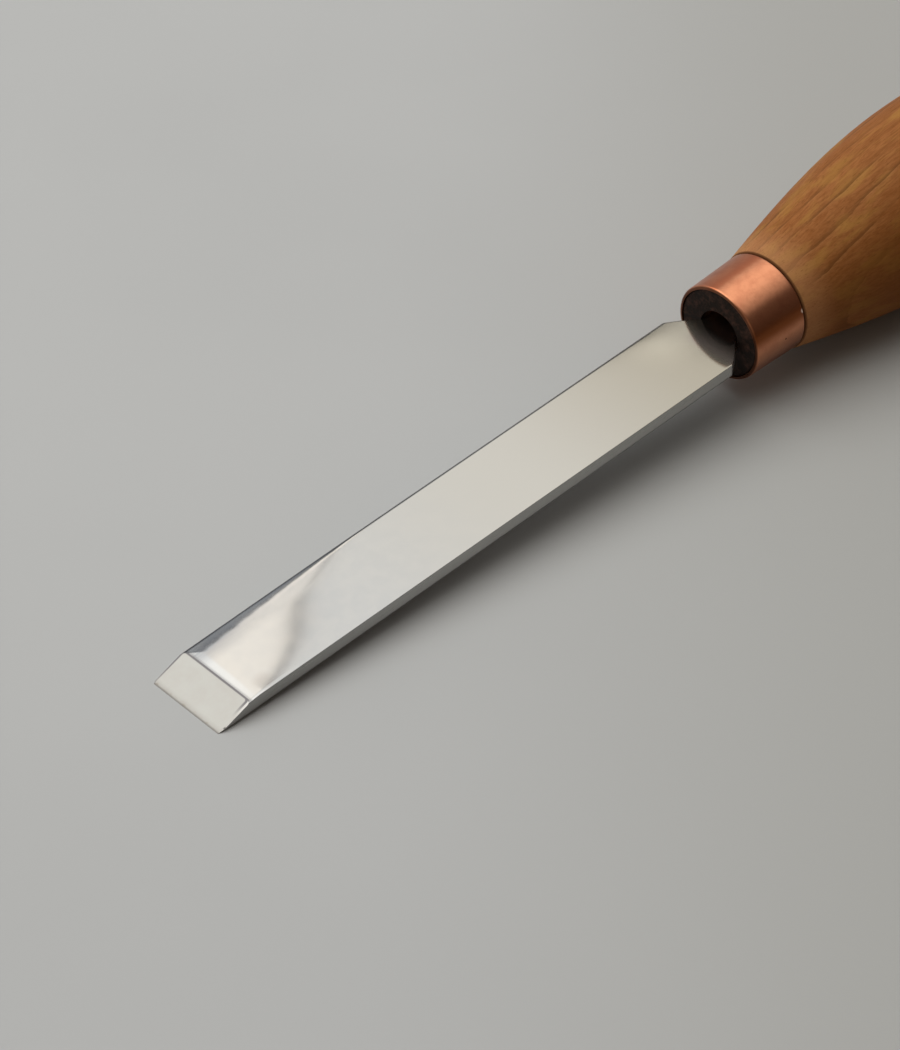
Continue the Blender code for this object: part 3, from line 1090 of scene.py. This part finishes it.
handle_wood, tree = new_finish("oiled_wood")
axes = tree.split(tree.tool_space())
x, y, z = axes
sway = tree.drawn_noise(axes, (0.05, 0.12, 0.12), 2.0)
wander = tree.drawn_noise(axes, (0.12, 0.5, 0.5), 3.0)
across = y - PITH[0]
up = z - PITH[1]
distance = (across * across + up * up) ** 0.5 + (sway - 0.5) * 2.0 + (wander - 0.5) * 0.8
ring = tree.maths("FRACT", (distance - FIRST_RING) / RING_STEP)
fibres = tree.drawn_noise(axes, (0.09, 2.6, 2.6), 5.0, 0.65)
mottle = tree.drawn_noise(axes, (0.06, 0.26, 0.26), 3.0, 0.6)
pores = tree.drawn_noise(axes, (0.16, 5.5, 5.5), 2.0, 0.6).rise(0.57, 0.68)
clear_place = tree.join(x * 0.05, y * 0.3, z * 0.3 + CLEAR_SHIFT)
clear = tree.noise(clear_place, 1.0, 1.0).rise(0.42, 0.6)
print("wood grows from", len(tree.nodes), "nodes")

# %% [markdown]
# ## Handle: colour and oil
# Oil brings out warm browns with red and golden clouds, dark late wood and pale early wood in
# each ring. The near side is darker with painted shade. Behind the ferrule the wood is paler,
# and painted shade fills the seam. Each layer is one mix over the layers before it.

# %% Colour the wood
WARM_DARK = (0.238, 0.083, 0.021)
WARM_PALE = (0.365, 0.145, 0.046)
RED_CLOUD = (0.26, 0.086, 0.020)
GOLDEN_CLOUD = (0.40, 0.205, 0.045)
LATE_WOOD = (0.20, 0.072, 0.017)
RING_LINE = (0.11, 0.040, 0.010)
EARLY_WOOD = (0.50, 0.25, 0.10)
NEAR_SIDE_SHADE = (0.142, 0.041, 0.004)
PALER_COLLAR_WOOD = (0.56, 0.28, 0.13)
SEAM_SHADE = (0.050, 0.020, 0.010)
PORE_DARK = (0.10, 0.037, 0.010)

warm = tree.mix(fibres.rise(0.28, 0.72), WARM_DARK, WARM_PALE)
red = tree.mix(mottle.rise(0.45, 0.65) * 0.5, warm, RED_CLOUD)
golden = tree.mix(mottle.fall(0.35, 0.5) * 0.5, red, GOLDEN_CLOUD)
grown = tree.mix(ring.rise(0.2, 1.0) * 0.28, golden, LATE_WOOD)
lined = tree.mix(ring.rise(0.80, 0.96) * clear * 0.5, grown, RING_LINE)
early = tree.mix(ring.fall(0.0, 0.16) * clear * 0.16, lined, EARLY_WOOD)
# Painted shade darkens the near side.
near_side_shaded = tree.mix(y.fall(-14.0, -6.0) * 0.65, early, NEAR_SIDE_SHADE)
# Behind the ferrule the wood is paler.
behind_ferrule = x.fall(FERRULE_BACK + 0.8, FERRULE_BACK + 7.8)
paler_collar = tree.mix(behind_ferrule * 0.38, near_side_shaded, PALER_COLLAR_WOOD)
# Painted shade in the seam behind the ferrule.
in_seam = x.fall(FERRULE_BACK + 0.35, FERRULE_BACK + 0.55)
seamed = tree.mix(in_seam * 0.6, paler_collar, SEAM_SHADE)
set_finish(handle_wood, tree, {
    "Base Color": tree.mix(pores * 0.3, seamed, PORE_DARK),
    "Roughness": 0.48 + pores * 0.25 + fibres * 0.08,
    "Specular IOR Level": 0.06,
    "Normal": tree.bump(fibres * 0.4 - pores * 0.6, 0.25, 0.0001),
})

# %% [markdown]
# ## Handle: sealed end grain
# Inside the ferrule the end grain is darkened with sealer, and the bore behind it is raw wood.
# Both could be separate finishes, but the sealer fades over a few millimetres, so one finish
# holds both and fades from one to the other along the bore.

# %% Seal the end grain
SEALER = (0.014, 0.009, 0.007)
SEALER_FLECK = (0.060, 0.030, 0.022)
RAW_BORE = (0.190, 0.088, 0.054)

end_grain, tree = new_finish("sealed_end_grain")
place = tree.tool_space()
flecks = tree.noise(place, 0.8, 4.0, 0.65)
sealed = tree.mix(flecks.rise(0.42, 0.75), SEALER, SEALER_FLECK)
in_bore = tree.split(place)[0].rise(MOUTH + 0.3, MOUTH + 2.5)
set_finish(end_grain, tree, {
    "Base Color": tree.mix(in_bore, sealed, RAW_BORE),
    "Roughness": 0.55 + flecks * 0.2,
    "Specular IOR Level": 0.12,
    "Normal": tree.bump(flecks, 0.5, 0.0003),
})

# %% [markdown]
# ## Handle: shape
# The handle swells from a collar behind the ferrule to a belly that fills the palm, and ends in
# a low dome. Its section starts at the drill point, runs out along the bore, over the end face
# and the spigot, and back along the outside, so the lathe turns the bore as well.

# %% Draw the handle's section
COLLAR_RADIUS = 9.4
COLLAR_ROUND = 0.3
FLARE_SLOPE = 0.24
BELLY = (FERRULE_BACK + 46.0, 16.3)
BUTT_AT = 118.0
BUTT = (FERRULE_BACK + BUTT_AT, 13.4)
BUTT_FLAT_RADIUS = 3.6
SPIGOT_GAP = 0.03
END_FACE_ROUND = 0.3
DRILL_POINT_ANGLE = math.radians(118)
CORNER_STEPS = 6
FLARE_STEPS = 70
BELLY_STEPS = 90
DOME_STEPS = 24

seat = FERRULE_BACK + FIT_GAP
spigot_front = FERRULE_FRONT_RADIUS - FERRULE_WALL - SPIGOT_GAP
spigot_back = FERRULE_BACK_RADIUS - FERRULE_WALL - SPIGOT_GAP
collar = (seat + COLLAR_ROUND, COLLAR_RADIUS)
bore_tip = (BORE_END + BORE_RADIUS / math.tan(DRILL_POINT_ANGLE / 2), 0.0)
end_centre = (MOUTH + END_FACE_ROUND, spigot_front - END_FACE_ROUND)
end_corner = arc(end_centre, END_FACE_ROUND, 180, 90, CORNER_STEPS)
collar_centre = (collar[0], COLLAR_RADIUS - COLLAR_ROUND)
collar_corner = arc(collar_centre, COLLAR_ROUND, 180, 90, CORNER_STEPS)
dome = np.radians(np.linspace(0.0, 90.0, DOME_STEPS + 1)[1:])
dome_x = BUTT[0] + (HANDLE_LENGTH - BUTT_AT) * np.sin(dome)
dome_radius = BUTT_FLAT_RADIUS + (BUTT[1] - BUTT_FLAT_RADIUS) * np.cos(dome)

profile = [bore_tip] + even_line(bore_tip, (BORE_END, BORE_RADIUS), 1.0)
profile += even_line(profile[-1], (MOUTH, BORE_RADIUS), 2.0)
profile += even_line(profile[-1], end_corner[0], 0.25) + end_corner[1:]
profile += even_line(profile[-1], (seat, spigot_back), 1.0)
profile += even_line(profile[-1], collar_corner[0], 0.3) + collar_corner[1:]
profile += smooth_run(collar, BELLY, FLARE_SLOPE, 0.0, FLARE_STEPS)
profile += smooth_run(BELLY, BUTT, 0.0, 0.0, BELLY_STEPS)
profile += list(zip(dome_x, dome_radius))
profile += even_line(profile[-1], (FERRULE_BACK + HANDLE_LENGTH, 0.0), 0.6)
print("handle's section has", len(profile), "points")

# %% Turn the handle
WOOD, END_GRAIN = range(2)
HANDLE_STEPS = 192
BORE_SLACK = 0.02

handle_bm = turn_profile("handle", profile, HANDLE_STEPS, handle_wood)
for face in handle_bm.faces:
    middle = face.calc_center_median()
    on_axis = math.hypot(middle.y, middle.z) < BORE_RADIUS + BORE_SLACK
    bored = on_axis and middle.x < bore_tip[0] + 1.0
    face.material_index = END_GRAIN if bored or middle.x < seat - 0.5 else WOOD
handle = make_object("turned_handle", handle_bm)
handle.data.materials.append(handle_wood)
handle.data.materials.append(end_grain)
print("handle:", len(handle.data.polygons), "faces")

# %% [markdown]
# ## Bedding
# The resin that holds the tang is hidden in the bore, and its solid already has the right shape.
# It stays as the frame gives it and only gets a finish: amber, a little cloudy, cured hard.

# %% Cast the resin
RESIN_DARK = (0.16, 0.095, 0.04)
RESIN_PALE = (0.24, 0.15, 0.07)

resin, tree = new_finish("cured_resin")
cloud = tree.noise(tree.tool_space(), 0.5, 4.0)
set_finish(resin, tree, {
    "Base Color": tree.mix(cloud.rise(0.3, 0.7), RESIN_DARK, RESIN_PALE),
    "Roughness": 0.28 + cloud * 0.2,
    "Normal": tree.bump(cloud, 0.1, 0.0003),
})
bedding = frame["nodes"]["tang_bedding"]
for slot in bedding.material_slots:
    slot.material = resin
print("bedding slots:", len(bedding.material_slots))

# %% [markdown]
# ## Join the frame
# Every new piece rides on the one body of the tool, and the solid that it stands for is hidden.

# %% Ride and replace
pieces = [
    (blade, "blade", "blade_steel"),
    (ferrule, "ferrule", "ferrule_copper"),
    (handle, "handle", "handle_wood"),
]
for piece, node, slot in pieces:
    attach(piece, "root")
    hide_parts(node)
print("dressed pieces:", [piece.name for piece, node, slot in pieces])

# %% Update the scene
bpy.context.view_layer.update()
